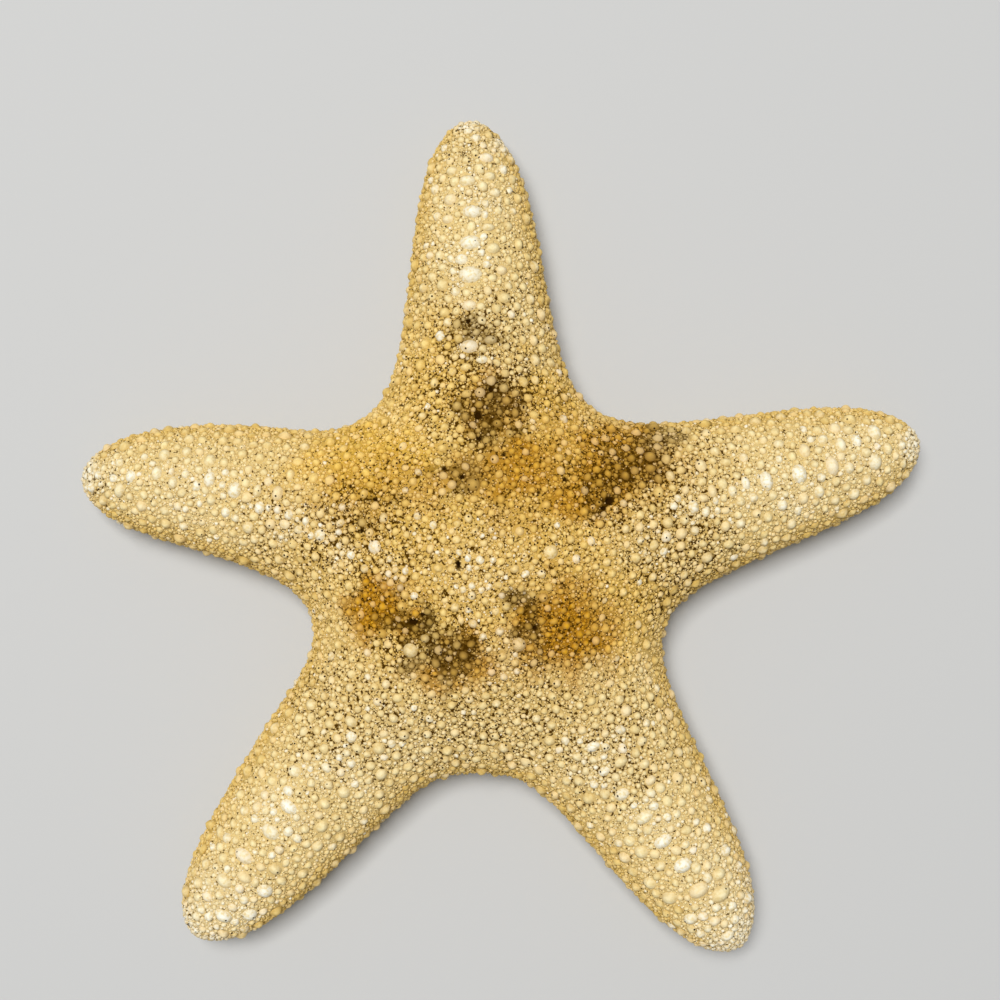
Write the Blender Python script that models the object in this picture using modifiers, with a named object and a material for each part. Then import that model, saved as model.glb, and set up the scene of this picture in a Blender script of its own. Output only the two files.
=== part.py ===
"""A dried starfish with five thick, blunt arms, lying on its mouth side.

It grew as one piece, so it is one solid, star_body. Its skin is the zero surface of a field: five tapered
arms merged smoothly into a domed disc, cut off by the sole that it rests on, with a groove under each arm
and the mouth in the middle. Rough primitives are remeshed, moved onto that surface, and get the larger
tubercles as domes before the mesh is reduced to flat facets. The knobs of the sole are worn flat at the
bottom, and the starfish stands on them.
Blender 4.5, metres, +Z up. The origin is at the bottom, under the middle of the whole outline.
"""

import itertools
import math

import bmesh
import bpy
import numpy as np
from mathutils import Matrix

MM = 0.001

# The arms, seen from above: name, reach from the disc's middle, heading from +X, sideways bow, stoutness
ARMS = (
    ("up", 101.5 * MM, 91.3, -0.8 * MM, 1.00),
    ("left", 94.0 * MM, 167.9, -4.0 * MM, 0.99),
    ("low_left", 109.0 * MM, 232.7, 1.2 * MM, 1.05),
    ("low_right", 107.8 * MM, 303.8, 0.8 * MM, 1.03),
    ("right", 105.2 * MM, 15.2, 0.3 * MM, 1.03),
)
HALF_WIDTH_ROOT = 23.6 * MM
HALF_WIDTH_TIP = 11.2 * MM
HALF_HEIGHT_ROOT = 20.0 * MM
HALF_HEIGHT_TIP = 10.5 * MM
AXIS_HEIGHT = 10.5 * MM
TIP_BLUNTNESS = 11
RIDGE_POWER = 1.8
ARM_BLEND = 6.6 * MM
BACK_REACH = 25.0 * MM
CROWN_HEIGHT = 37.0 * MM
CROWN_ROUNDING = 2.6 * MM

# Where the outline between two arms is fuller or thinner than the arms alone make it: across, up, depth, spread
DENTS = (
    (-42.0 * MM, -18.5 * MM, 2.4 * MM, 15.0 * MM),
    (-33.5 * MM, 31.0 * MM, 1.6 * MM, 15.0 * MM),
    (0.0 * MM, -50.0 * MM, -2.2 * MM, 10.0 * MM),
)

# The mouth side
SOLE_HEIGHT = 0.7 * MM
SOLE_ROUNDING = 2.2 * MM
TIP_LIFT = 2.2 * MM
GROOVE_HALF_WIDTH = 2.3 * MM
GROOVE_DEPTH = 4.2 * MM
GROOVE_TAPER = 0.45
GROOVE_END = 0.95
GROOVE_ROUNDING = 0.5 * MM
MOUTH_RADIUS = 4.8 * MM
MOUTH_DEPTH = 6.5 * MM
KNOB_ROWS = ((5.6 * MM, 6.8 * MM), (12.9 * MM, 9.0 * MM))
KNOB_RADIUS = 2.8 * MM
KNOB_TIP_SHARE = 0.65
KNOB_RISE = 1.6 * MM
FLAT_WITHIN = 0.1 * MM

# A pixel of the photograph, turned into a place on a starfish seen from straight above
PIXEL_ORIGIN = (480, 560)
MM_PER_PIXEL = 0.2308
VIEW_HEIGHT = 400 * MM
OUTLINE_HEIGHT = 10 * MM

# Tubercles that stand out in the photograph: pixel across and down, and half width in millimetres
LANDMARKS = (
    # the five round the middle of the disc
    (473, 484, 1.8), (374, 547, 1.7), (410, 651, 1.9), (519, 645, 1.8), (551, 552, 1.8),
    # up
    (480, 392, 1.3), (469, 346, 1.8), (482, 359, 1.2), (469, 305, 1.5), (470, 274, 2.4), (470, 242, 2.1),
    (472, 211, 1.9), (467, 180, 1.7), (434, 189, 1.3), (496, 192, 1.3), (487, 157, 1.5), (504, 169, 1.3),
    # left
    (319, 535, 1.5), (288, 515, 1.2), (259, 508, 1.4), (234, 490, 1.8), (209, 479, 1.6), (196, 486, 1.2),
    (225, 513, 1.2), (183, 527, 1.2), (156, 473, 1.5), (130, 476, 1.4), (141, 507, 1.4), (189, 438, 1.4),
    # low_left
    (379, 749, 1.6), (351, 764, 1.2), (344, 793, 1.6), (326, 768, 1.3), (288, 791, 1.3), (288, 807, 1.9),
    (270, 832, 2.0), (226, 838, 1.3), (243, 856, 2.0), (223, 881, 1.8), (265, 892, 1.9), (244, 878, 1.6),
    (223, 917, 1.9), (250, 916, 1.8), (206, 897, 1.3), (297, 839, 1.3), (318, 847, 1.5),
    # low_right
    (593, 747, 1.5), (604, 772, 1.3), (622, 795, 1.7), (644, 818, 1.9), (663, 842, 1.9), (683, 866, 2.0),
    (727, 850, 1.5), (708, 828, 1.3), (699, 891, 2.1), (722, 894, 2.2), (720, 874, 1.7), (690, 920, 1.7),
    (669, 899, 1.9), (749, 898, 1.5), (728, 937, 1.5), (641, 853, 1.7), (629, 842, 1.5), (649, 884, 1.7),
    # right
    (694, 507, 1.5), (733, 491, 1.3), (746, 483, 1.4), (767, 481, 1.9), (800, 474, 2.0), (783, 506, 1.4),
    (833, 466, 1.9), (876, 462, 1.9), (875, 431, 1.8), (857, 440, 1.4), (841, 444, 1.6), (820, 492, 1.5),
    (804, 499, 1.4), (855, 495, 1.5), (835, 427, 1.5), (792, 525, 1.4), (741, 524, 1.3),
)
PORE_PIXEL = (458, 565)
PORE_RADIUS = 1.3 * MM
PORE_DEPTH = 3.0 * MM

# The other large tubercles, scattered by rule: radius, least distance to the next of the same size, and how
# far from the disc's middle they start
SEED = 11
CANDIDATES = 60000
SHELL = 1.2 * MM
LOWEST_TUBERCLE = 5.0 * MM
LARGE_SIZES = (
    (1.9 * MM, 10.5 * MM, 42 * MM),
    (1.6 * MM, 8.0 * MM, 7 * MM),
)
TUBERCLE_GAP = 0.9 * MM
DOME_SPREAD = 1.3
DOME_SHARE = 0.66

VOXELS = (2.0 * MM, 1.2 * MM, 0.8 * MM)
FACETS = 9800
SKIN_COLOUR = (0.61, 0.40, 0.16, 1)


def smooth_min(fields, blend):
    lowest = np.min(fields, axis=0)
    return lowest - blend * np.log(sum(np.exp((lowest - field) / blend) for field in fields))


def smooth_max(first, second, blend):
    return -smooth_min([-first, -second], blend)


def mix(root, tip, share):
    return root + (tip - root) * share


def arm_coordinates(points, arm):
    """Share of the arm's reach, and distance across the arm from its bowed axis."""
    _, reach, heading, bow, _ = arm
    turn = math.radians(heading)
    along = points[:, 0] * math.cos(turn) + points[:, 1] * math.sin(turn)
    across = points[:, 1] * math.cos(turn) - points[:, 0] * math.sin(turn)
    share = along / reach
    return share, across - bow * np.sin(math.pi * np.clip(share, 0, 1))


def arm_field(points, arm):
    share, across = arm_coordinates(points, arm)
    within = np.clip(share, 0, 1.1)
    half_width = mix(HALF_WIDTH_ROOT, HALF_WIDTH_TIP, within) * arm[4]
    half_height = mix(HALF_HEIGHT_ROOT, HALF_HEIGHT_TIP, within)
    up = points[:, 2] - AXIS_HEIGHT
    behind = np.minimum(share, 0) * arm[1] / BACK_REACH
    ends = within**TIP_BLUNTNESS + behind**2 + 10 * np.maximum(share - 1.1, 0)
    size = np.abs(across / half_width) ** RIDGE_POWER + (up / half_height) ** 2 + ends
    return (np.sqrt(size) - 1) * half_width


def groove_field(points, arm):
    share, across = arm_coordinates(points, arm)
    taper = 1 - GROOVE_TAPER * np.clip(share, 0, 1)
    ends = np.clip(share / GROOVE_END, 0, 2) ** 16 + (np.minimum(share, 0) * 20) ** 2
    size = (across / (GROOVE_HALF_WIDTH * taper)) ** 2
    size += ((points[:, 2] - SOLE_HEIGHT) / (GROOVE_DEPTH * taper)) ** 2 + ends
    return (np.sqrt(size) - 1) * GROOVE_HALF_WIDTH


def body_field(points):
    """Below zero inside the starfish, above zero outside, and about a distance near the skin."""
    height = points[:, 2]
    from_middle = np.hypot(points[:, 0], points[:, 1])
    body = smooth_min([arm_field(points, arm) for arm in ARMS], ARM_BLEND)
    for across, up, depth, spread in DENTS:
        body = body + depth * np.exp(-((points[:, 0] - across) ** 2 + (points[:, 1] - up) ** 2) / spread**2)
    body = smooth_max(body, height - CROWN_HEIGHT, CROWN_ROUNDING)
    sole = SOLE_HEIGHT + TIP_LIFT * np.clip(from_middle / (100 * MM), 0, 1.2) ** 5
    body = smooth_max(body, sole - height, SOLE_ROUNDING)
    for arm in ARMS:
        body = smooth_max(body, -groove_field(points, arm), GROOVE_ROUNDING)
    mouth = np.hypot(from_middle / MOUTH_RADIUS, (height - SOLE_HEIGHT) / MOUTH_DEPTH) - 1
    return smooth_max(body, -mouth * MOUTH_RADIUS, GROOVE_ROUNDING)


def field_slope(points):
    step = 0.02 * MM
    slope = np.empty_like(points)
    for axis in range(3):
        shift = np.zeros(3)
        shift[axis] = step
        slope[:, axis] = (body_field(points + shift) - body_field(points - shift)) / (2 * step)
    return slope


def outward(points):
    slope = field_slope(points)
    return slope / np.maximum(np.linalg.norm(slope, axis=1, keepdims=True), 1e-9)


def onto_skin(points, rounds=8):
    """Moves points down the field's slope until they lie on the skin."""
    longest = 1.5 * MM
    for _ in range(rounds):
        slope = field_slope(points)
        steep = np.maximum((slope**2).sum(axis=1), 0.05)
        move = (body_field(points) / steep)[:, None] * slope
        length = np.linalg.norm(move, axis=1, keepdims=True)
        points = points - move * np.minimum(1, longest / np.maximum(length, 1e-12))
    return points


def first_inside(column):
    """The first point of a row of points that is inside the body, or else the last one."""
    inside = np.flatnonzero(body_field(column) < 0)
    return column[inside[0]] if len(inside) else column[-1]


def seen_at(pixel):
    """The point of the upper skin that the photograph shows at a pixel."""
    seen = np.array([pixel[0] - PIXEL_ORIGIN[0], PIXEL_ORIGIN[1] - pixel[1]]) * MM_PER_PIXEL * MM
    heights = np.linspace(60 * MM, 4 * MM, 561)
    shrink = (VIEW_HEIGHT - heights) / (VIEW_HEIGHT - OUTLINE_HEIGHT)
    return first_inside(np.column_stack([seen[0] * shrink, seen[1] * shrink, heights]))


def scattered_points():
    """Points spread evenly over the whole skin, in a random order."""
    random = np.random.default_rng(SEED)
    found = []
    while sum(map(len, found)) < CANDIDATES:
        box = random.uniform((-0.10, -0.10, -0.001), (0.108, 0.105, 0.040), (400000, 3))
        found.append(box[np.abs(body_field(box)) < SHELL])
    return onto_skin(np.concatenate(found)[:CANDIDATES])


def scatter(points, radius, apart, placed):
    """Adds tubercles of one radius wherever they fit between the ones already placed."""
    clear = np.ones(len(points), bool)
    for centre, size in placed:
        clear &= ((points - centre) ** 2).sum(axis=1) > (radius + size + TUBERCLE_GAP) ** 2
    free = points[clear]
    while len(free):
        centre = free[0]
        placed.append((centre, radius))
        free = free[((free - centre) ** 2).sum(axis=1) >= apart**2]


def upper_tubercles():
    """Middle and radius of each large tubercle: the ones seen in the photograph, and more between them."""
    placed = [(seen_at((across, down)), half_width * MM) for across, down, half_width in LANDMARKS]
    points = scattered_points()
    points = points[points[:, 2] > LOWEST_TUBERCLE]
    from_middle = np.hypot(points[:, 0], points[:, 1])
    for radius, apart, start in LARGE_SIZES:
        scatter(points[from_middle > start], radius, apart, placed)
    return placed


def sole_knobs():
    """Middle and radius of each knob of the sole, in rows along both sides of every groove."""
    kept = []
    for (offset, pitch), arm, side in itertools.product(KNOB_ROWS, ARMS, (-1, 1)):
        _, reach, heading, bow, _ = arm
        turn = math.radians(heading)
        for along in np.arange(offset * 1.3 + 3 * MM, reach * 0.93, pitch):
            across = side * offset + bow * math.sin(math.pi * along / reach)
            column = np.zeros((141, 3))
            column[:, 0] = along * math.cos(turn) - across * math.sin(turn)
            column[:, 1] = along * math.sin(turn) + across * math.cos(turn)
            column[:, 2] = np.linspace(-1 * MM, 6 * MM, 141)
            middle = first_inside(column)
            radius = KNOB_RADIUS * mix(1, KNOB_TIP_SHARE, along / reach)
            apart = all(np.linalg.norm(middle - other) > 1.1 * (radius + size) for other, size in kept)
            if apart and middle[2] < 4.5 * MM:
                kept.append((middle, radius))
    return kept


def clear_scene():
    for old in list(bpy.data.objects):
        bpy.data.objects.remove(old, do_unlink=True)


def rough_form(collection):
    """Five cones and a ball, which the remesh melts into one closed form."""
    form = bmesh.new()
    for _, reach, heading, _, _ in ARMS:
        turn = Matrix.Rotation(math.radians(heading), 4, "Z") @ Matrix.Rotation(math.radians(90), 4, "Y")
        place = Matrix.Translation((0, 0, AXIS_HEIGHT)) @ turn @ Matrix.Translation((0, 0, 0.48 * reach))
        bmesh.ops.create_cone(
            form, cap_ends=True, segments=24, radius1=19 * MM, radius2=9 * MM, depth=0.96 * reach, matrix=place
        )
    lift = Matrix.Translation((0, 0, AXIS_HEIGHT + 4 * MM)) @ Matrix.Diagonal((1, 1, 0.55, 1))
    bmesh.ops.create_uvsphere(form, u_segments=40, v_segments=20, radius=42 * MM, matrix=lift)
    mesh = bpy.data.meshes.new("star_body")
    form.to_mesh(mesh)
    form.free()
    body = bpy.data.objects.new("star_body", mesh)
    collection.objects.link(body)
    return body


def vertex_places(mesh):
    flat = np.empty(len(mesh.vertices) * 3, np.float32)
    mesh.vertices.foreach_get("co", flat)
    return flat.reshape(-1, 3).astype(float)


def set_vertex_places(mesh, points):
    mesh.vertices.foreach_set("co", points.astype(np.float32).ravel())
    mesh.update()


def apply_modifiers(body):
    evaluated = body.evaluated_get(bpy.context.evaluated_depsgraph_get())
    mesh = bpy.data.meshes.new_from_object(evaluated)
    body.modifiers.clear()
    old = body.data
    body.data = mesh
    bpy.data.meshes.remove(old)
    mesh.name = body.name


def remesh_onto_skin(body, voxel):
    even = body.modifiers.new("even_mesh", "REMESH")
    even.mode = "VOXEL"
    even.voxel_size = voxel
    apply_modifiers(body)
    set_vertex_places(body.data, onto_skin(vertex_places(body.data)))
    relax = body.modifiers.new("relax", "SMOOTH")
    relax.factor = 0.5
    relax.iterations = 3
    apply_modifiers(body)
    set_vertex_places(body.data, onto_skin(vertex_places(body.data)))


def dome_rise(points, placed, height):
    """How far each point is raised by the domes over it: a parabola of the given height over each."""
    rise = np.zeros(len(points))
    for centre, radius in placed:
        spread = radius * DOME_SPREAD
        near = 1 - ((points - centre) ** 2).sum(axis=1) / spread**2
        rise = np.maximum(rise, near * height(radius))
    return rise


def raise_lumps(mesh):
    points = vertex_places(mesh)
    rise = dome_rise(points, upper_tubercles(), lambda radius: radius * DOME_SHARE)
    rise = np.maximum(rise, dome_rise(points, sole_knobs(), lambda radius: KNOB_RISE * radius / KNOB_RADIUS))
    pore = seen_at(PORE_PIXEL)
    hollow = np.maximum(1 - ((points - pore) ** 2).sum(axis=1) / PORE_RADIUS**2, 0)
    points += outward(points) * (rise - hollow * PORE_DEPTH)[:, None]
    points[:, 2] = np.maximum(points[:, 2], 0)
    set_vertex_places(mesh, points)


def reduce_to_facets(body):
    reduce = body.modifiers.new("facets", "DECIMATE")
    reduce.ratio = FACETS / (2 * len(body.data.polygons))
    apply_modifiers(body)
    points = vertex_places(body.data)
    points[:, 2] = np.where(points[:, 2] < FLAT_WITHIN, 0, points[:, 2])
    middle = (points.min(axis=0) + points.max(axis=0)) / 2
    print("outline's middle, seen from the disc's, in mm:", middle[:2] / MM)
    points[:, :2] -= middle[:2]
    set_vertex_places(body.data, points)


def dried_skin():
    material = bpy.data.materials.new("dried_skin")
    material.use_nodes = True
    surface = material.node_tree.nodes["Principled BSDF"]
    surface.inputs["Base Color"].default_value = SKIN_COLOUR
    surface.inputs["Roughness"].default_value = 0.75
    surface.inputs["Metallic"].default_value = 0
    return material


def main():
    clear_scene()
    collection = bpy.data.collections.new("dried_starfish")
    bpy.context.scene.collection.children.link(collection)
    body = rough_form(collection)
    for voxel in VOXELS:
        remesh_onto_skin(body, voxel)
    raise_lumps(body.data)
    reduce_to_facets(body)
    body.data.shade_smooth()
    body.data.materials.append(dried_skin())


main()
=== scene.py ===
"""How the dried starfish looks: its skin, and every tubercle, granule, grain and spine on it.

The skin is a fine mesh on the same field as the solid, a little inside it. Tubercles stand where the solid
has its domes, smaller granules fill the room between them, and fine grains what is left. Dark skin shows
through as pores where a grain is missing. The stains are soft patches that tint skin and grains alike.
Painted shade darkens the steep flanks and the floors of the holes, and the grains have painted highlight
on their tops and painted shade at their feet.
Metres, +Z up, in the frame of the solid.
"""

import itertools
import math

import bmesh
import bpy
import numpy as np
from mathutils.kdtree import KDTree
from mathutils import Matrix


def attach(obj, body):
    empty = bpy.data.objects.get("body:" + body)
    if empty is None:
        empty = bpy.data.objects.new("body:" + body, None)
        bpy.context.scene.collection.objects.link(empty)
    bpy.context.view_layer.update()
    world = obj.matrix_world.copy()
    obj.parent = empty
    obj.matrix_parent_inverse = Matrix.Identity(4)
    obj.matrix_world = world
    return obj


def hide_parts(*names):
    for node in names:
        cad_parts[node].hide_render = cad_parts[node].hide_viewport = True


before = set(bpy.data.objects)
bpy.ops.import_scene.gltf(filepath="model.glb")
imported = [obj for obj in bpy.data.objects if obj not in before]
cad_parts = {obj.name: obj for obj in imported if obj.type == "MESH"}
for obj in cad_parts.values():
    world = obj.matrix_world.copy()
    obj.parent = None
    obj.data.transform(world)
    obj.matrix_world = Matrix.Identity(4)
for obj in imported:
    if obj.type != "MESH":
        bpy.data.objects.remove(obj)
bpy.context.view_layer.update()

MM = 0.001

# The arms, seen from above: name, reach from the disc's middle, heading from +X, sideways bow, stoutness
ARMS = (
    ("up", 101.5 * MM, 91.3, -0.8 * MM, 1.00),
    ("left", 94.0 * MM, 167.9, -4.0 * MM, 0.99),
    ("low_left", 109.0 * MM, 232.7, 1.2 * MM, 1.05),
    ("low_right", 107.8 * MM, 303.8, 0.8 * MM, 1.03),
    ("right", 105.2 * MM, 15.2, 0.3 * MM, 1.03),
)
DISC_MIDDLE = np.array([-5.000, -5.045, 0]) * MM
HALF_WIDTH_ROOT = 23.6 * MM
HALF_WIDTH_TIP = 11.2 * MM
HALF_HEIGHT_ROOT = 20.0 * MM
HALF_HEIGHT_TIP = 10.5 * MM
AXIS_HEIGHT = 10.5 * MM
TIP_BLUNTNESS = 11
RIDGE_POWER = 1.8
ARM_BLEND = 6.6 * MM
BACK_REACH = 25.0 * MM
CROWN_HEIGHT = 37.0 * MM
CROWN_ROUNDING = 2.6 * MM

# Where the outline is fuller or thinner than the arms alone make it: across, up, depth, spread
DENTS = (
    (-42.0 * MM, -18.5 * MM, 2.4 * MM, 15.0 * MM),
    (-33.5 * MM, 31.0 * MM, 1.6 * MM, 15.0 * MM),
    (0.0 * MM, -50.0 * MM, -2.2 * MM, 10.0 * MM),
)

# The mouth side
SOLE_HEIGHT = 0.7 * MM
SOLE_ROUNDING = 2.2 * MM
TIP_LIFT = 2.2 * MM
GROOVE_HALF_WIDTH = 2.3 * MM
GROOVE_DEPTH = 4.2 * MM
GROOVE_TAPER = 0.45
GROOVE_END = 0.95
GROOVE_ROUNDING = 0.5 * MM
MOUTH_RADIUS = 4.8 * MM
MOUTH_DEPTH = 6.5 * MM
KNOB_ROWS = ((5.6 * MM, 6.8 * MM), (12.9 * MM, 9.0 * MM))
KNOB_RADIUS = 2.8 * MM
KNOB_TIP_SHARE = 0.65
KNOB_RISE = 1.6 * MM

# A pixel of the photograph, turned into a place on a starfish seen from straight above
PIXEL_ORIGIN = (480, 560)
MM_PER_PIXEL = 0.2308
VIEW_HEIGHT = 400 * MM
OUTLINE_HEIGHT = 10 * MM
IMAGE_SIDE = 1000
SENSOR = 36.0

# Tubercles that stand out in the photograph: pixel across, pixel down, half width in millimetres, how ivory
LANDMARKS = (
    # the five round the middle of the disc
    (473, 484, 1.6, 0.1), (374, 547, 1.6, 1.0), (410, 651, 1.8, 0.3), (519, 645, 1.7, 0.5),
    (551, 552, 1.7, 0.35),
    # up
    (480, 392, 1.3, 0.5), (469, 346, 1.8, 0.9), (482, 359, 1.2, 0.8), (469, 305, 1.5, 0.5),
    (470, 274, 2.4, 0.8), (470, 242, 2.1, 0.8), (472, 211, 1.9, 0.9), (467, 180, 1.7, 0.5),
    (434, 189, 1.3, 0.6), (496, 192, 1.3, 0.4), (487, 157, 1.5, 0.8), (504, 169, 1.3, 0.9),
    # left
    (319, 535, 1.5, 0.8), (288, 515, 1.2, 0.8), (259, 508, 1.4, 0.9), (234, 490, 1.8, 0.8),
    (209, 479, 1.6, 0.9), (196, 486, 1.2, 0.8), (225, 513, 1.2, 0.8), (183, 527, 1.2, 0.5),
    (156, 473, 1.5, 0.5), (130, 476, 1.4, 0.9), (141, 507, 1.4, 0.2), (189, 438, 1.4, 0.2),
    # low_left
    (379, 749, 1.6, 0.1), (351, 764, 1.2, 0.8), (344, 793, 1.6, 0.2), (326, 768, 1.3, 0.6),
    (288, 791, 1.3, 0.9), (288, 807, 1.9, 1.0), (270, 832, 2.0, 0.6), (226, 838, 1.3, 0.6),
    (243, 856, 2.0, 0.8), (223, 881, 1.8, 0.4), (265, 892, 1.9, 0.9), (244, 878, 1.6, 0.1),
    (223, 917, 1.9, 0.9), (250, 916, 1.8, 0.9), (206, 897, 1.3, 0.8), (297, 839, 1.3, 0.6),
    (318, 847, 1.5, 0.2),
    # low_right
    (593, 747, 1.5, 1.0), (604, 772, 1.3, 0.9), (622, 795, 1.7, 0.8), (644, 818, 1.9, 0.5),
    (663, 842, 1.9, 1.0), (683, 866, 2.0, 1.0), (727, 850, 1.5, 0.9), (708, 828, 1.3, 0.9),
    (699, 891, 2.1, 0.3), (722, 894, 2.2, 0.2), (720, 874, 1.7, 0.2), (690, 920, 1.7, 0.7),
    (669, 899, 1.9, 0.2), (749, 898, 1.5, 0.9), (728, 937, 1.5, 0.8), (641, 853, 1.7, 0.2),
    (629, 842, 1.5, 0.2), (649, 884, 1.7, 0.2),
    # right
    (694, 507, 1.5, 0.8), (733, 491, 1.3, 0.5), (746, 483, 1.4, 0.8), (767, 481, 1.9, 0.9),
    (800, 474, 2.0, 1.0), (783, 506, 1.4, 0.8), (833, 466, 1.9, 0.6), (876, 462, 1.9, 0.6),
    (875, 431, 1.8, 0.6), (857, 440, 1.4, 0.9), (841, 444, 1.6, 0.5), (820, 492, 1.5, 0.5),
    (804, 499, 1.4, 0.2), (855, 495, 1.5, 0.4), (835, 427, 1.5, 0.3), (792, 525, 1.4, 0.4),
    (741, 524, 1.3, 0.5),
)

# Smaller granules that stand out in the photograph, given the same way
BRIGHT_GRANULES = (
    # the disc
    (468, 558, 0.9, 1.0), (469, 568, 0.8, 1.0), (493, 560, 0.8, 0.9), (433, 525, 1.0, 0.7),
    (417, 516, 1.0, 0.6), (400, 588, 0.9, 0.8), (388, 574, 0.9, 0.8), (383, 587, 0.9, 0.7),
    (414, 596, 1.0, 0.9), (405, 571, 0.9, 0.9), (389, 559, 0.8, 0.7), (350, 555, 1.1, 1.0),
    (338, 532, 0.9, 1.0), (338, 546, 0.8, 0.8), (336, 559, 0.7, 0.9), (310, 536, 0.9, 1.0),
    (305, 521, 1.0, 0.8), (577, 559, 1.1, 0.8), (592, 541, 1.1, 0.6), (504, 678, 1.0, 0.6),
    (517, 672, 0.9, 0.8), (473, 624, 1.1, 0.6), (500, 632, 1.1, 0.7), (463, 590, 0.9, 0.6),
    (472, 586, 0.9, 0.8), (489, 587, 0.9, 0.8), (483, 637, 0.9, 0.8), (378, 578, 1.0, 0.4),
    (624, 503, 1.0, 0.6), (383, 518, 1.2, 0.4),
    # up
    (476, 137, 1.2, 0.8), (504, 149, 1.0, 0.9), (461, 259, 1.5, 0.8), (487, 264, 1.0, 0.8),
    (436, 216, 1.1, 0.5), (514, 211, 1.0, 0.4), (447, 322, 1.2, 0.4), (512, 314, 1.1, 0.7),
    (429, 255, 1.1, 0.5), (455, 291, 1.2, 0.6),
    # left
    (171, 471, 0.9, 0.7), (185, 474, 1.1, 0.5), (185, 510, 0.9, 0.8), (199, 504, 0.9, 0.7),
    (222, 485, 1.0, 0.7), (225, 472, 1.0, 0.8), (268, 508, 0.9, 0.9), (277, 510, 1.0, 0.9),
    (216, 538, 0.8, 0.9), (209, 541, 0.8, 0.9), (144, 456, 1.0, 0.5), (97, 475, 1.0, 1.0),
    (90, 488, 1.2, 1.0), (119, 462, 1.2, 0.4), (268, 481, 1.2, 0.4),
    # low_left
    (310, 769, 0.9, 1.0), (339, 758, 0.9, 0.9), (318, 757, 1.0, 0.6), (341, 773, 1.1, 0.6),
    (277, 820, 0.8, 1.0), (273, 812, 1.0, 0.8), (264, 795, 1.2, 0.5), (272, 856, 1.0, 0.8),
    (212, 847, 1.0, 0.9), (256, 807, 1.3, 0.3), (244, 901, 1.2, 0.7), (200, 910, 1.1, 0.7),
    (402, 745, 0.8, 1.0), (377, 702, 1.1, 0.6),
    # low_right
    (604, 757, 0.9, 0.8), (604, 786, 0.9, 0.9), (634, 806, 0.9, 0.9), (646, 800, 0.9, 0.6),
    (645, 764, 1.3, 0.2), (661, 788, 1.4, 0.2), (697, 822, 1.0, 0.7), (677, 814, 1.2, 0.4),
    (740, 865, 1.1, 0.9), (736, 920, 1.2, 0.8), (715, 922, 1.4, 0.5), (727, 815, 0.8, 0.8),
    (659, 819, 0.9, 0.5), (708, 866, 1.3, 0.2), (686, 845, 1.1, 0.4), (739, 882, 0.8, 0.8),
    (700, 935, 1.2, 0.8), (580, 742, 0.8, 0.9),
    # right
    (716, 501, 0.9, 0.9), (718, 511, 0.9, 0.9), (754, 498, 1.2, 0.6), (850, 468, 1.4, 0.5),
    (744, 457, 1.2, 0.4), (765, 543, 1.2, 0.5), (682, 534, 1.5, 0.2), (678, 498, 1.0, 0.7),
    (726, 527, 1.3, 0.1), (903, 445, 1.1, 0.8),
)

# Holes, in pixels of the photograph: across, down, half width, half height, and depth in millimetres. The
# skin material paints their floors near black, as painted shade.
HOLES = (
    # the opening near the middle of the disc
    (458, 565, 2.6, 5.0, 3.0),
    # dark pits where grains have come away
    (375, 499, 2.4, 2.2, 0.7), (361, 531, 2.7, 2.5, 0.7), (350, 486, 2.2, 2.2, 0.6),
    (610, 501, 4.6, 4.0, 0.9), (604, 508, 3.0, 2.4, 0.7), (539, 492, 2.2, 2.2, 0.6),
    (565, 479, 3.0, 2.4, 0.7), (478, 415, 4.0, 4.6, 0.8), (479, 438, 3.2, 2.4, 0.7),
    (504, 454, 2.6, 2.2, 0.6), (413, 622, 5.2, 3.0, 0.9), (422, 615, 2.8, 2.4, 0.7),
    (444, 468, 2.6, 2.6, 0.6), (462, 477, 2.8, 2.2, 0.6), (535, 628, 2.4, 2.2, 0.6),
    (388, 461, 2.0, 2.0, 0.6), (491, 389, 2.6, 2.6, 0.7), (468, 321, 2.4, 2.4, 0.6),
    (187, 925, 3.0, 2.2, 0.8), (190, 933, 2.4, 2.2, 0.8),
)
LOWEST_HOLE = 8 * MM

# The other large tubercles, scattered by the same rule as the solid's domes
SEED = 11
CANDIDATES = 60000
SHELL = 1.2 * MM
SEARCH_BOX = ((-0.10, -0.10, -0.001), (0.108, 0.105, 0.040))
SEARCH_POINTS = 400000
LOWEST_TUBERCLE = 5.0 * MM
# radius, pitch, and distance from the disc's middle where they start
LARGE_SIZES = (
    (1.9 * MM, 10.5 * MM, 42 * MM),
    (1.6 * MM, 8.0 * MM, 7 * MM),
)
TUBERCLE_GAP = 0.9 * MM

# The skin and the grains on it. A rise is a height above the skin, as a share of the half width.
SKIN_INSET = 0.35 * MM
SKIN_VOXELS = (1.2 * MM, 1.0 * MM)
DOME_SPREAD = 1.12
DOME_DROP = 1.35
LANDMARK_RISE = 0.40
TUBERCLE_RISE = 0.40
GRANULE_RISE = 0.56
FINE_RISE = 0.75
GRAIN_SPOTS = 460000
FACING_DOWN = -0.35
GROOVE_CLEAR = 0.75 * MM
MISSING_GRAINS = 0.05
MISSING_IN_SPECKS = 0.31
# Painted shade on the steep flanks: how strongly they take the golden and the sooty tints
FLANK_SHADE_GOLD = 0.70
FLANK_SHADE_SOOT = 0.12
CRUST_SPECKS = 0.35

# Sides and rings of each kind's domes
FORMS = {
    "tubercles": (13, 5),
    "bright_granules": (11, 4),
    "sole_knobs": (12, 5),
    "granules": (9, 3),
    "small_granules": (7, 3),
    "fine_grains": (6, 2),
    "finest_grains": (6, 1),
    "sole_granules": (8, 3),
    "sole_grains": (6, 2),
    "groove_spines": (7, 3),
}

# Half widths of the granules and gaps between them: on the disc, on the arms and, third, in a tip's crust
GRANULE_RADII = (0.90 * MM, 1.16 * MM, 0.76 * MM)
GRANULE_GAPS = (0.62 * MM, 0.7 * MM, 0.05 * MM)
SMALL_GRANULE_GAPS = (0.95 * MM, 0.60 * MM)

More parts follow.
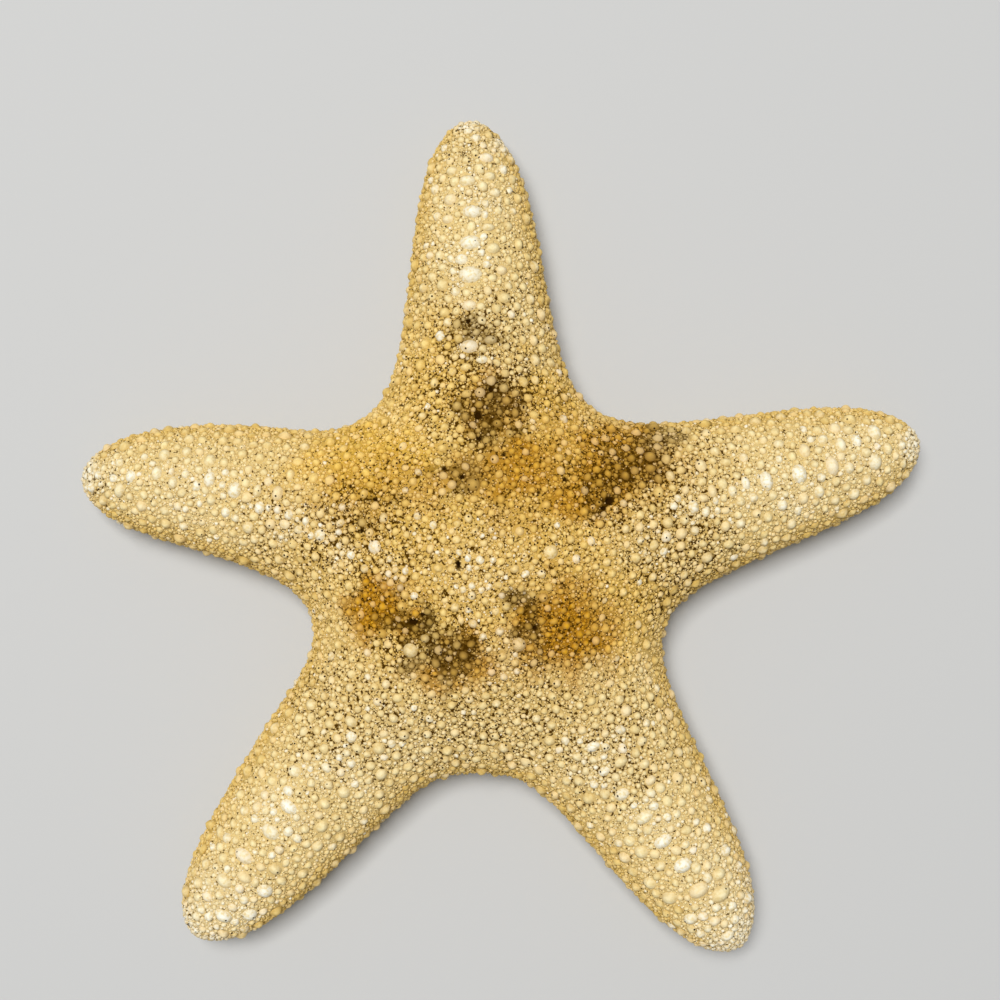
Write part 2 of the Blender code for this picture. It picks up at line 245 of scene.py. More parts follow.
# The largest fine grains on the disc and on the arms, the smallest anywhere, and the room between them.
# The finest grains are as small and as large as their two radii, and overlap a little.
FINE_LARGEST = (0.44 * MM, 0.54 * MM)
FINE_SMALLEST = 0.34 * MM
FINE_GAP = 0.10 * MM
FINEST_RADII = (0.21 * MM, 0.31 * MM)
FINEST_GAP = -0.13 * MM

# The rows of spines beside a groove: distance from its edge, pitch, radius, length, and how far they lean
SPINE_ROWS = (
    (0.7 * MM, 1.45 * MM, 0.42 * MM, 1.25 * MM, 0.95),
    (2.0 * MM, 1.7 * MM, 0.52 * MM, 1.05 * MM, 0.35),
)
FIRST_SPINE = 5.5 * MM
LAST_SPINE = 0.94

# Stains, in pixels of the photograph: across, down, half width, half height, strength
RUST = (
    (619, 462, 70, 46, 0.85), (578, 498, 52, 26, 0.8), (515, 464, 60, 36, 0.85), (495, 408, 40, 34, 0.65),
    (395, 487, 64, 30, 0.35), (355, 500, 44, 44, 0.3), (563, 630, 62, 60, 0.95), (380, 608, 46, 36, 1.0),
    (458, 666, 50, 30, 0.85), (455, 480, 50, 26, 0.55), (520, 512, 46, 26, 0.3), (560, 425, 44, 30, 0.3),
)
SOOT = (
    (414, 626, 32, 16, 0.9), (448, 655, 42, 28, 0.75), (490, 413, 32, 36, 0.75), (472, 335, 38, 20, 0.5),
    (655, 440, 24, 28, 0.6), (632, 468, 40, 28, 0.55), (460, 474, 38, 20, 0.5), (522, 618, 14, 24, 0.7),
    (606, 500, 16, 12, 0.8), (362, 530, 14, 10, 0.4), (376, 501, 10, 8, 0.4), (392, 616, 22, 18, 0.5),
    (538, 648, 12, 18, 0.4),
)
SPECKS = (
    (482, 395, 90, 75, 1.0), (472, 325, 62, 40, 0.8), (625, 480, 95, 70, 0.95), (360, 535, 84, 74, 0.95),
    (680, 560, 72, 80, 0.9), (430, 640, 80, 48, 0.9), (545, 640, 66, 56, 0.75), (480, 560, 210, 180, 0.5),
    (300, 530, 76, 60, 0.5), (690, 470, 66, 60, 0.55), (365, 715, 90, 80, 0.6), (605, 740, 90, 80, 0.6),
    (495, 722, 110, 60, 0.75), (425, 310, 50, 90, 0.25), (530, 310, 50, 90, 0.3), (470, 136, 34, 28, 0.45),
    (92, 468, 26, 34, 0.4),
)
GOLD = (
    (370, 460, 96, 66, 1.0), (480, 530, 240, 190, 0.68), (560, 470, 130, 80, 0.85), (610, 610, 80, 70, 0.75),
    (400, 610, 80, 60, 0.7), (430, 380, 80, 80, 0.7), (560, 400, 60, 50, 0.8),
)
CHALK = (
    (300, 522, 62, 26, 0.7), (345, 548, 30, 22, 0.8), (395, 572, 26, 28, 0.6), (200, 490, 74, 34, 0.5),
    (470, 225, 24, 90, 0.6), (470, 345, 22, 28, 0.7), (395, 735, 40, 34, 0.5), (338, 770, 34, 26, 0.7),
    (280, 815, 40, 34, 0.7), (218, 903, 48, 52, 0.9), (600, 765, 36, 30, 0.6), (655, 825, 34, 34, 0.6),
    (724, 900, 46, 62, 0.9), (710, 505, 40, 20, 0.7), (785, 490, 60, 28, 0.6), (855, 452, 46, 32, 0.6),
    (505, 655, 36, 30, 0.6), (480, 572, 62, 52, 0.45), (650, 540, 46, 40, 0.4), (102, 474, 34, 34, 0.7),
)
CRUST = (
    (83, 466, 20, 30, 1.0), (470, 120, 26, 12, 0.9), (502, 142, 12, 16, 0.7), (916, 440, 15, 32, 1.0),
    (187, 928, 18, 34, 1.0), (212, 941, 34, 10, 0.9), (748, 936, 22, 30, 1.0), (716, 950, 34, 12, 0.9),
    (754, 895, 10, 34, 0.7),
)

# The studio
KEY_PLACE = (-0.30, 0.36, 1.95)
KEY_SIDE = 0.8
KEY_ENERGY = 40
SURROUNDINGS = (0.97, 0.98, 1.0, 1)
SURROUNDINGS_STRENGTH = 0.20
FLOOR_REACH = 3.0
FLOOR_DROP = 0.2 * MM
FLOOR_COLOUR = (0.56, 0.56, 0.55, 1)


def smooth_min(fields, blend):
    lowest = np.min(fields, axis=0)
    return lowest - blend * np.log(sum(np.exp((lowest - field) / blend) for field in fields))


def smooth_max(first, second, blend):
    return -smooth_min([-first, -second], blend)


def mix(root, tip, share):
    return root + (tip - root) * share


def ramp(value, start, end):
    """0 before start and 1 after end, smooth between them."""
    share = np.clip((value - start) / (end - start), 0, 1)
    return share * share * (3 - 2 * share)


def arm_coordinates(points, arm):
    """Share of the arm's reach, and distance across the arm from its bowed axis."""
    _, reach, heading, bow, _ = arm
    turn = math.radians(heading)
    along = points[:, 0] * math.cos(turn) + points[:, 1] * math.sin(turn)
    across = points[:, 1] * math.cos(turn) - points[:, 0] * math.sin(turn)
    share = along / reach
    return share, across - bow * np.sin(math.pi * np.clip(share, 0, 1))


def arm_field(points, arm):
    share, across = arm_coordinates(points, arm)
    within = np.clip(share, 0, 1.1)
    half_width = mix(HALF_WIDTH_ROOT, HALF_WIDTH_TIP, within) * arm[4]
    half_height = mix(HALF_HEIGHT_ROOT, HALF_HEIGHT_TIP, within)
    up = points[:, 2] - AXIS_HEIGHT
    behind = np.minimum(share, 0) * arm[1] / BACK_REACH
    ends = within**TIP_BLUNTNESS + behind**2 + 10 * np.maximum(share - 1.1, 0)
    size = np.abs(across / half_width) ** RIDGE_POWER + (up / half_height) ** 2 + ends
    return (np.sqrt(size) - 1) * half_width


def groove_field(points, arm):
    share, across = arm_coordinates(points, arm)
    taper = 1 - GROOVE_TAPER * np.clip(share, 0, 1)
    ends = np.clip(share / GROOVE_END, 0, 2) ** 16 + (np.minimum(share, 0) * 20) ** 2
    size = (across / (GROOVE_HALF_WIDTH * taper)) ** 2
    size += ((points[:, 2] - SOLE_HEIGHT) / (GROOVE_DEPTH * taper)) ** 2 + ends
    return (np.sqrt(size) - 1) * GROOVE_HALF_WIDTH


def mouth_field(points):
    from_middle = np.hypot(points[:, 0], points[:, 1])
    up = points[:, 2] - SOLE_HEIGHT
    return (np.hypot(from_middle / MOUTH_RADIUS, up / MOUTH_DEPTH) - 1) * MOUTH_RADIUS


def body_field(points):
    """Below zero inside the starfish, above zero outside, and about a distance near the skin."""
    height = points[:, 2]
    from_middle = np.hypot(points[:, 0], points[:, 1])
    body = smooth_min([arm_field(points, arm) for arm in ARMS], ARM_BLEND)
    for across, up, depth, spread in DENTS:
        body = body + depth * np.exp(-((points[:, 0] - across) ** 2 + (points[:, 1] - up) ** 2) / spread**2)
    body = smooth_max(body, height - CROWN_HEIGHT, CROWN_ROUNDING)
    sole = SOLE_HEIGHT + TIP_LIFT * np.clip(from_middle / (100 * MM), 0, 1.2) ** 5
    body = smooth_max(body, sole - height, SOLE_ROUNDING)
    for arm in ARMS:
        body = smooth_max(body, -groove_field(points, arm), GROOVE_ROUNDING)
    return smooth_max(body, -mouth_field(points), GROOVE_ROUNDING)


def field_slope(points):
    step = 0.02 * MM
    slope = np.empty_like(points)
    for axis in range(3):
        shift = np.zeros(3)
        shift[axis] = step
        slope[:, axis] = (body_field(points + shift) - body_field(points - shift)) / (2 * step)
    return slope


def outward(points):
    slope = field_slope(points)
    return slope / np.maximum(np.linalg.norm(slope, axis=1, keepdims=True), 1e-9)


def onto_skin(points, rounds=8, inset=0):
    """Moves points down the field's slope until they lie on the skin, or that far inside it."""
    longest = 1.5 * MM
    for _ in range(rounds):
        slope = field_slope(points)
        steep = np.maximum((slope**2).sum(axis=1), 0.05)
        move = ((body_field(points) + inset) / steep)[:, None] * slope
        length = np.linalg.norm(move, axis=1, keepdims=True)
        points = points - move * np.minimum(1, longest / np.maximum(length, 1e-12))
    return points


def first_inside(column):
    """The first point of a row of points that is inside the body, or else the last one."""
    inside = np.flatnonzero(body_field(column) < 0)
    return column[inside[0]] if len(inside) else column[-1]


def seen_at(pixel):
    """The point of the upper skin that the photograph shows at a pixel."""
    seen = np.array([pixel[0] - PIXEL_ORIGIN[0], PIXEL_ORIGIN[1] - pixel[1]]) * MM_PER_PIXEL * MM
    heights = np.linspace(60 * MM, 4 * MM, 561)
    shrink = (VIEW_HEIGHT - heights) / (VIEW_HEIGHT - OUTLINE_HEIGHT)
    return first_inside(np.column_stack([seen[0] * shrink, seen[1] * shrink, heights]))


def pixels_of(points):
    """Where the photograph shows these points: pixels across and down."""
    grow = (VIEW_HEIGHT - OUTLINE_HEIGHT) / (VIEW_HEIGHT - points[:, 2]) / (MM_PER_PIXEL * MM)
    return PIXEL_ORIGIN[0] + points[:, 0] * grow, PIXEL_ORIGIN[1] - points[:, 1] * grow


def scattered_points():
    """Points spread evenly over the whole skin, in a random order."""
    random = np.random.default_rng(SEED)
    found = []
    while sum(map(len, found)) < CANDIDATES:
        tried = random.uniform(*SEARCH_BOX, (SEARCH_POINTS, 3))
        found.append(tried[np.abs(body_field(tried)) < SHELL])
    return onto_skin(np.concatenate(found)[:CANDIDATES])


def scatter(points, radius, apart, placed):
    """Adds tubercles of one radius wherever they fit between the ones already placed."""
    clear = np.ones(len(points), bool)
    for centre, size in placed:
        clear &= ((points - centre) ** 2).sum(axis=1) > (radius + size + TUBERCLE_GAP) ** 2
    free = points[clear]
    while len(free):
        centre = free[0]
        placed.append((centre, radius))
        free = free[((free - centre) ** 2).sum(axis=1) >= apart**2]


def upper_tubercles():
    """Middle and radius of each large tubercle: the ones seen in the photograph, and more between them."""
    placed = [(seen_at((across, down)), half_width * MM) for across, down, half_width, _ in LANDMARKS]
    points = scattered_points()
    points = points[points[:, 2] > LOWEST_TUBERCLE]
    from_middle = np.hypot(points[:, 0], points[:, 1])
    for radius, apart, start in LARGE_SIZES:
        scatter(points[from_middle > start], radius, apart, placed)
    return placed


def on_arm(arm, along, offset):
    """The place at a distance along an arm and off its bowed axis, seen from above."""
    _, reach, heading, bow, _ = arm
    turn = math.radians(heading)
    across = offset + bow * math.sin(math.pi * along / reach)
    return np.array([
        along * math.cos(turn) - across * math.sin(turn),
        along * math.sin(turn) + across * math.cos(turn),
    ])


def under_skin(place):
    """The point of the underside at a place seen from above."""
    column = np.zeros((141, 3))
    column[:, :2] = place
    column[:, 2] = np.linspace(-1 * MM, 6 * MM, 141)
    return first_inside(column)


def sole_knobs():
    """Middle and radius of each knob of the sole, in rows along both sides of every groove."""
    kept = []
    for (offset, pitch), arm, side in itertools.product(KNOB_ROWS, ARMS, (-1, 1)):
        for along in np.arange(offset * 1.3 + 3 * MM, arm[1] * 0.93, pitch):
            middle = under_skin(on_arm(arm, along, side * offset))
            radius = KNOB_RADIUS * mix(1, KNOB_TIP_SHARE, along / arm[1])
            apart = all(np.linalg.norm(middle - other) > 1.1 * (radius + size) for other, size in kept)
            if apart and middle[2] < 4.5 * MM:
                kept.append((middle, radius))
    return kept


def arm_share(points):
    """Share of the reach of whichever arm a point is on: low on the disc, 1 at a tip."""
    return np.max([arm_coordinates(points, arm)[0] for arm in ARMS], axis=0)


def nearest_arm(points):
    """Which arm each point is on, counted from 0 in the order of ARMS."""
    return np.argmax([arm_coordinates(points, arm)[0] for arm in ARMS], axis=0)


def ridge_nearness(points):
    """1 on the middle line of an arm, 0 well off it."""
    offsets = np.array([arm_coordinates(points, arm)[1] for arm in ARMS])
    offset = np.abs(offsets[nearest_arm(points), np.arange(len(points))])
    return 1 - ramp(offset, 2.5 * MM, 9 * MM)


def cloud(points, size, seed):
    """Smooth noise of about -1 to 1 whose lumps are about size across."""
    random = np.random.default_rng(seed)
    waves = random.normal(size=(3, 24))
    waves *= 2 * math.pi / size / np.linalg.norm(waves, axis=0) * random.uniform(0.6, 1.3, 24)
    return np.sin(points @ waves + random.uniform(0, 2 * math.pi, 24)).sum(axis=1) / 5.0


def patches(points, stains, seed, ragged=1.0, fade=(6 * MM, 12 * MM)):
    """How strongly soft-edged, ragged patches cover each point. They fade out between two heights."""
    wide = np.column_stack([cloud(points, 9 * MM, seed), cloud(points, 9 * MM, seed + 1)])
    narrow = np.column_stack([cloud(points, 4 * MM, seed + 2), cloud(points, 4 * MM, seed + 3)])
    shift = wide * 9 * ragged + narrow * 5 * ragged
    across, down = pixels_of(points)
    total = np.zeros(len(points))
    for middle_across, middle_down, half_width, half_height, strength in stains:
        right = (across + shift[:, 0] - middle_across) / half_width
        below = (down + shift[:, 1] - middle_down) / half_height
        total = np.maximum(total, strength * (1 - ramp(np.hypot(right, below), 0.35, 1.25)))
    return total * ramp(points[:, 2], *fade)


STAINS = (("rust", RUST, 101), ("soot_and_flank_shade", SOOT, 202), ("gold_and_flank_shade", GOLD, 303), ("speck", SPECKS, 404))


def crust(points):
    """How far each point is in the white crust of an arm's tip."""
    return patches(points, CRUST, 606, ragged=0.35, fade=(-1 * MM, 2 * MM))


def stain_values(points, normals):
    """How strong each stain is at each point. The steep flanks get painted shade: more golden and darker
    than the back.
    """
    values = {name: patches(points, stains, seed) for name, stains, seed in STAINS}
    # painted shade: the steep flanks take the golden and sooty tints, darker than the back
    flank_shade = ramp(normals[:, 2], -0.4, 0.0) * (1 - ramp(normals[:, 2], 0.35, 0.90))
    values["gold_and_flank_shade"] = np.maximum(values["gold_and_flank_shade"], FLANK_SHADE_GOLD * flank_shade)
    values["soot_and_flank_shade"] = np.maximum(values["soot_and_flank_shade"], FLANK_SHADE_SOOT * flank_shade)
    values["speck"] = np.maximum(values["speck"], CRUST_SPECKS * crust(points))
    return values


def nearest_hole(points):
    """How near each point is to a hole, with 1 on its rim, and the depth of that hole."""
    across, down = pixels_of(points)
    near = np.array([
        np.hypot((across - middle_across) / half_width, (down - middle_down) / half_height)
        for middle_across, middle_down, half_width, half_height, _ in HOLES
    ])
    nearest = np.argmin(near, axis=0)
    near = np.where(points[:, 2] > LOWEST_HOLE, near[nearest, np.arange(len(points))], np.inf)
    return near, np.array([hole[4] for hole in HOLES])[nearest] * MM


def hole_places():
    """Middles and radii that grains keep clear of, down the length of each hole."""
    places = []
    for across, down, half_width, half_height, _ in HOLES:
        for shift in (-1, 0, 1):
            middle = (across, down + shift * max(half_height - half_width, 0))
            places.append((seen_at(middle), min(half_width, half_height) * MM_PER_PIXEL * MM))
    return places


def vertex_places(mesh):
    flat = np.empty(len(mesh.vertices) * 3, np.float32)
    mesh.vertices.foreach_get("co", flat)
    return flat.reshape(-1, 3).astype(float) - DISC_MIDDLE


def set_vertex_places(mesh, points):
    mesh.vertices.foreach_set("co", (points + DISC_MIDDLE).astype(np.float32).ravel())
    mesh.update()


def set_value(mesh, name, values):
    mesh.attributes.new(name, "FLOAT", "POINT").data.foreach_set("value", np.asarray(values, np.float32))


def remesh(thing, voxel):
    even = thing.modifiers.new("even_mesh", "REMESH")
    even.mode = "VOXEL"
    even.voxel_size = voxel
    evaluated = thing.evaluated_get(bpy.context.evaluated_depsgraph_get())
    mesh = bpy.data.meshes.new_from_object(evaluated)
    thing.modifiers.clear()
    old = thing.data
    thing.data = mesh
    bpy.data.meshes.remove(old)


def refine_near_holes(mesh):
    """Splits the faces round every hole twice."""
    form = bmesh.new()
    form.from_mesh(mesh)
    for _ in range(2):
        form.verts.index_update()
        places = np.array([vertex.co[:] for vertex in form.verts]) - DISC_MIDDLE
        near = nearest_hole(places)[0] < 3.2
        edges = [edge for edge in form.edges if all(near[vertex.index] for vertex in edge.verts)]
        bmesh.ops.subdivide_edges(form, edges=edges, cuts=1, use_grid_fill=True)
    form.to_mesh(mesh)
    form.free()


def bare_skin():
    """The skin under the grains: the solid, remeshed evenly and moved onto the field a little inside it."""
    skin = bpy.data.objects.new("skin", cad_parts["star_body"].data.copy())
    bpy.context.scene.collection.objects.link(skin)
    for voxel in SKIN_VOXELS:
        remesh(skin, voxel)
        set_vertex_places(skin.data, onto_skin(vertex_places(skin.data), rounds=5, inset=SKIN_INSET))
    refine_near_holes(skin.data)
    points = vertex_places(skin.data)
    near, depth = nearest_hole(points)
    sunk = 1 - ramp(near, 0.5, 1.15)
    normals = outward(points)
    set_vertex_places(skin.data, points - normals * (sunk * depth)[:, None])
    skin.data.name = "skin"
    skin.data.materials.clear()
    skin.data.shade_smooth()
    for stain, values in stain_values(points, normals).items():
        set_value(skin.data, stain, values)
    set_value(skin.data, "pale", 0.25 * patches(points, CHALK, 505) + 0.6 * crust(points))
    set_value(skin.data, "hole", sunk)
    print("skin", sum(len(face.vertices) - 2 for face in skin.data.polygons), "triangles")
    return skin


def random_spots(mesh, random):
    """Points spread evenly over a mesh, in a random order."""
    mesh.calc_loop_triangles()
    corners = np.empty(len(mesh.loop_triangles) * 3, np.int32)
    mesh.loop_triangles.foreach_get("vertices", corners)
    corners = vertex_places(mesh)[corners.reshape(-1, 3)]
    first, second = corners[:, 1] - corners[:, 0], corners[:, 2] - corners[:, 0]
    areas = np.linalg.norm(np.cross(first, second), axis=1)
    chosen = random.choice(len(areas), GRAIN_SPOTS, p=areas / areas.sum())
    across, along = random.random((2, GRAIN_SPOTS, 1))
    folded = across + along > 1
    across, along = np.where(folded, 1 - across, across), np.where(folded, 1 - along, along)
    return corners[chosen, 0] + first[chosen] * across + second[chosen] * along


def fill(points, radii, gaps, taken, beside):
    """Which of these points get a grain: in their order, wherever one fits beside what is there. beside is
    the share of a grain's radius that stays clear of the larger grains."""
    tree = KDTree(len(points))
    for index, point in enumerate(points):
        tree.insert(point, index)
    tree.balance()
    widest = radii.max() + max(gaps.max(), 0)
    free = np.ones(len(points), bool)
    for centre, radius in taken:
        for _, other, apart in tree.find_range(centre, radius + widest):
            if apart < radius + beside * radii[other] + 0.3 * gaps[other]:
                free[other] = False
    chosen = []
    for index, point in enumerate(points):
        if not free[index]:
            continue
        chosen.append(index)
        for _, other, apart in tree.find_range(point, radii[index] + widest):
            if apart < radii[index] + radii[other] + gaps[other]:
                free[other] = False
    return np.array(chosen)


def dome(sides, rings):
    """Corners and triangles of a closed dome of radius 1 whose flanks slope out into a foot in the skin."""
    corners = [(0.0, 0.0, 1.0)]
    for ring in range(1, rings + 1):
        reach = ring / rings
        for side in range(sides):
            turn = 2 * math.pi * (side + 0.5 * ring) / sides
            out = DOME_SPREAD * reach
            corners.append((out * math.cos(turn), out * math.sin(turn), 1 - DOME_DROP * reach**2))
    faces = [(0, 1 + side, 1 + (side + 1) % sides) for side in range(sides)]
    for ring, side in itertools.product(range(rings - 1), range(sides)):
        inner, outer = 1 + ring * sides, 1 + (ring + 1) * sides
        after, before = (side + 1) % sides, (side - 1) % sides
        faces.append((inner + side, outer + before, outer + side))
        faces.append((inner + side, outer + side, inner + after))
    last = 1 + (rings - 1) * sides
    faces.extend((last, last + side + 1, last + side) for side in range(1, sides - 1))
    return np.array(corners), np.array(faces)


def across_arm(points, normals):
    """A unit vector in the skin at each point, square to the arm that it is on."""
    headings = np.radians([arm[2] for arm in ARMS])[nearest_arm(points)]
    along = np.column_stack([np.cos(headings), np.sin(headings), np.zeros(len(points))])
    across = np.cross(normals, along)
    return across / np.maximum(np.linalg.norm(across, axis=1, keepdims=True), 1e-6)


def any_way(normals, random):
    """A random unit vector square to each normal."""
    across = np.cross(normals, random.normal(size=normals.shape))
    return across / np.maximum(np.linalg.norm(across, axis=1, keepdims=True), 1e-6)


def domes(name, form, centres, normals, first, sizes, paleness, random, uneven=0.05):
    """One mesh of many small domes. sizes holds each dome's half width along first, along the other way in
    the skin, and its height. paleness is how close to ivory each one is."""
    corners, faces = dome(*form)
    second = np.cross(normals, first)
    count = len(centres)
    local = corners[None] * (1 + uneven * random.normal(size=(count, len(corners), 1)))
    local = local * sizes[:, None, :]
    places = centres[:, None] + local[..., :1] * first[:, None] + local[..., 1:2] * second[:, None]
    places = (places + local[..., 2:] * normals[:, None]).reshape(-1, 3)
    places[:, 2] = np.maximum(places[:, 2], 0.01 * MM)
    every = (faces[None] + len(corners) * np.arange(count)[:, None, None]).reshape(-1, 3)
    mesh = bpy.data.meshes.new(name)
    mesh.from_pydata((places + DISC_MIDDLE).tolist(), [], every.tolist())
    mesh.shade_smooth()
    thing = bpy.data.objects.new(name, mesh)
    bpy.context.scene.collection.objects.link(thing)
    repeat = len(corners)
    # height on each dome, which the grain materials turn into painted highlight on top and painted shade at
    # the foot
    set_value(mesh, "crown", np.tile(np.clip(corners[:, 2], 0, 1), count))
    for stain, values in stain_values(centres, normals).items():
        set_value(mesh, stain, np.repeat(values, repeat))
    set_value(mesh, "tone", np.repeat(random.random(count), repeat))
    set_value(mesh, "pale", np.repeat(np.clip(paleness, 0, 1), repeat))
    print(name, count, "domes,", len(every), "triangles")
    return thing


def large_tubercles(placed, random):
    centres = np.array([centre for centre, _ in placed])
    radii = np.array([radius for _, radius in placed])
    seen = np.arange(len(placed)) < len(LANDMARKS)
    normals = outward(centres)
    share = arm_share(centres)
    radii = np.where(seen, radii, radii * mix(0.66, 0.80, ramp(share, 0.3, 0.5)))
    along_ridge = ridge_nearness(centres) * ramp(share, 0.3, 0.5)
    stretch = mix(1.0, 1.16, along_ridge) + random.normal(0, 0.04, len(placed))
    heights = radii * np.where(seen, LANDMARK_RISE, TUBERCLE_RISE) + SKIN_INSET
    sizes = np.column_stack([radii * stretch, radii / stretch, heights])
    pale = random.uniform(0.0, 0.35, len(placed)) + 0.3 * patches(centres, CHALK, 505)
    pale[seen] = [landmark[3] for landmark in LANDMARKS]
    feet = centres - normals * SKIN_INSET
    first = across_arm(centres, normals)
    return domes("tubercles", FORMS["tubercles"], feet, normals, first, sizes, pale, random, 0.012)


def bright_granules(random):
    centres = np.array([seen_at(granule[:2]) for granule in BRIGHT_GRANULES])
    radii = np.array([granule[2] for granule in BRIGHT_GRANULES]) * MM
    normals = outward(centres)
    stretch = random.uniform(0.96, 1.12, len(radii))
    sizes = np.column_stack([radii * stretch, radii / stretch, radii * LANDMARK_RISE + SKIN_INSET])
    pale = np.array([granule[3] for granule in BRIGHT_GRANULES])
    feet = centres - normals * SKIN_INSET
    first = across_arm(centres, normals)
    form = FORMS["bright_granules"]
    return domes("bright_granules", form, feet, normals, first, sizes, pale, random, 0.015)


def knobs(placed, random):
    """The knobs that it rests on, with their lower ends worn flat."""
    centres = np.array([centre for centre, _ in placed])
    radii = np.array([radius for _, radius in placed])
    normals = outward(centres)
    heights = KNOB_RISE * radii / KNOB_RADIUS + SKIN_INSET
    sizes = np.column_stack([radii * 1.05, radii * 0.95, heights])
    feet = centres - normals * SKIN_INSET
    first = across_arm(centres, normals)
    pale = random.uniform(0.2, 0.6, len(placed))
    return domes("sole_knobs", FORMS["sole_knobs"], feet, normals, first, sizes, pale, random, 0.02)


def out_of_groove(points):
    """True where a point is clear of the grooves and the mouth."""
    grooves = np.min([groove_field(points, arm) for arm in ARMS] + [mouth_field(points)], axis=0)
    return (grooves > GROOVE_CLEAR) | (points[:, 2] > 8 * MM)


def grain_paleness(places, random):
    chalk = patches(places, CHALK, 505)
    ivory = random.random(len(places)) < 0.03 + 0.40 * chalk
    pale = random.uniform(0.0, 0.15, len(places)) + 0.25 * chalk
    pale = np.where(ivory, random.uniform(0.4, 1.0, len(places)), pale)
    return np.maximum(pale, crust(places) * random.uniform(0.75, 1.25, len(places)))


def grain_stage(name, form, spots, normals, radii, gaps, taken, random, rise, beside, kept_share=None):
    """Fills the free room with grains of these sizes. kept_share leaves some of them out again, as pores."""
    chosen = fill(spots, radii, gaps, taken, beside)
    taken.extend(zip(spots[chosen], radii[chosen]))
    if kept_share is not None:
        chosen = chosen[random.random(len(chosen)) < kept_share[chosen]]
    sizes = radii[chosen, None] * np.column_stack([
        random.uniform(0.88, 1.16, len(chosen)),
        random.uniform(0.88, 1.16, len(chosen)),
        rise * random.uniform(0.8, 1.2, len(chosen)),
    ])
    tilted = normals[chosen] + random.normal(0, 0.10, (len(chosen), 3))
    tilted /= np.linalg.norm(tilted, axis=1, keepdims=True)
    first = any_way(tilted, random)
    pale = grain_paleness(spots[chosen], random)
    return domes(name, form, spots[chosen], tilted, first, sizes, pale, random, 0.08)


def upper_granules(upper, normals, on_arms, crusted, taken, random):
    """Granules in two sizes, closer together in the crust of the tips."""
    disc_radius, arm_radius, crust_radius = GRANULE_RADII
    radii = mix(mix(disc_radius, arm_radius, on_arms), crust_radius, crusted)
    radii = radii * random.uniform(0.80, 1.16, len(upper))
    disc_gap, arm_gap, crust_gap = GRANULE_GAPS
    gaps = mix(mix(disc_gap, arm_gap, on_arms), crust_gap, crusted)
    pieces = [grain_stage(
        "granules", FORMS["granules"], upper, normals, radii, gaps, taken, random, GRANULE_RISE, 0.75
    )]
    radii = random.uniform(0.54, 0.72, len(upper)) * MM
    gaps = mix(*SMALL_GRANULE_GAPS, on_arms)
    pieces.append(grain_stage(
        "small_granules", FORMS["small_granules"], upper, normals, radii, gaps, taken, random,
        GRANULE_RISE, 0.6,
    ))
    return pieces


def thirds(points):
    """The back, left and right third of the points round the disc's middle."""
    turn = np.degrees(np.arctan2(points[:, 1], points[:, 0]))
    return (
        ("back", (turn > 20) & (turn <= 150)),
        ("left", (turn > 150) | (turn <= -90)),
        ("right", (turn > -90) & (turn <= 20)),
    )


def upper_fine_grains(upper, normals, on_arms, crusted, taken, random):
    """Fine grains in two sizes between the granules. Where one is missing there is a pore."""
    kept_share = 1 - mix(MISSING_GRAINS, MISSING_IN_SPECKS, patches(upper, SPECKS, 404))
    kept_share *= (1 - 0.2 * patches(upper, SOOT, 202)) * (1 - 0.15 * crusted)
    lot = random.random(len(upper))
    grain_sizes = (
        ("fine_grains", mix(FINE_SMALLEST, mix(*FINE_LARGEST, on_arms), lot), FINE_GAP),
        ("finest_grains", mix(*FINEST_RADII, lot), FINEST_GAP),
    )
    pieces = []
    for (side, there), (name, radii, gap) in itertools.product(thirds(upper), grain_sizes):
        gaps = np.full(there.sum(), gap)
        pieces.append(grain_stage(
            f"{name}_{side}", FORMS[name], upper[there], normals[there], radii[there], gaps, taken, random,
            FINE_RISE, 0.35, kept_share[there],
        ))
    return pieces


def upper_grains(upper, normals, taken, random):
    """The granules and fine grains of the back and the flanks."""
    share = arm_share(upper)
    crusted = crust(upper)
    on_arms = ramp(share, 0.22, 0.45) * (1 - 0.25 * ramp(share, 0.8, 0.97))
    pieces = upper_granules(upper, normals, on_arms, crusted, taken, random)
    return pieces + upper_fine_grains(upper, normals, on_arms, crusted, taken, random)


def lower_grains(lower, normals, taken, random):
    """The granules and fine grains of the sole."""
    radii = random.uniform(0.75, 1.05, len(lower)) * MM
    gaps = np.full(len(lower), 0.12 * MM)
    pieces = [grain_stage(
        "sole_granules", FORMS["sole_granules"], lower, normals, radii, gaps, taken, random,
        GRANULE_RISE, 0.75,
    )]
    radii = random.uniform(0.40, 0.52, len(lower)) * MM
    gaps = np.zeros(len(lower))
    pieces.append(grain_stage(
        "sole_grains", FORMS["sole_grains"], lower, normals, radii, gaps, taken, random, FINE_RISE, 0.75
    ))
    return pieces


def granules(skin, taken, random):
    """The granules and grains that fill the room between the tubercles, in a few sizes."""
    spots = random_spots(skin.data, random)
    spots = spots[out_of_groove(spots) & (nearest_hole(spots)[0] > 1.2)]
    normals = outward(spots)
    under = normals[:, 2] < FACING_DOWN
    pieces = upper_grains(spots[~under], normals[~under], taken, random)
    return pieces + lower_grains(spots[under], normals[under], taken, random)


def spine(arm, along, side, row, random):
    """Middle, pointing way, sideways way and half sizes of one spine beside a groove."""
    offset, _, radius, length, lean = row
    turn = math.radians(arm[2])
    inward = np.array([math.sin(turn), -math.cos(turn), 0]) * side
    heading = np.array([math.cos(turn), math.sin(turn), 0])
    taper = 1 - GROOVE_TAPER * along / arm[1]
    foot = under_skin(on_arm(arm, along, side * (GROOVE_HALF_WIDTH * taper + offset)))
    way = np.array([0, 0, -1.0]) + inward * lean + random.normal(0, 0.12, 3)
    way /= np.linalg.norm(way)
    middle = foot + way * 0.35 * length
    middle[2] = max(middle[2], 0.75 * radius)
    first = np.cross(way, heading)
    size = np.array([radius, radius, length]) * mix(1, 0.7, along / arm[1]) * random.uniform(0.85, 1.1)
    return middle, way, first / np.linalg.norm(first), size


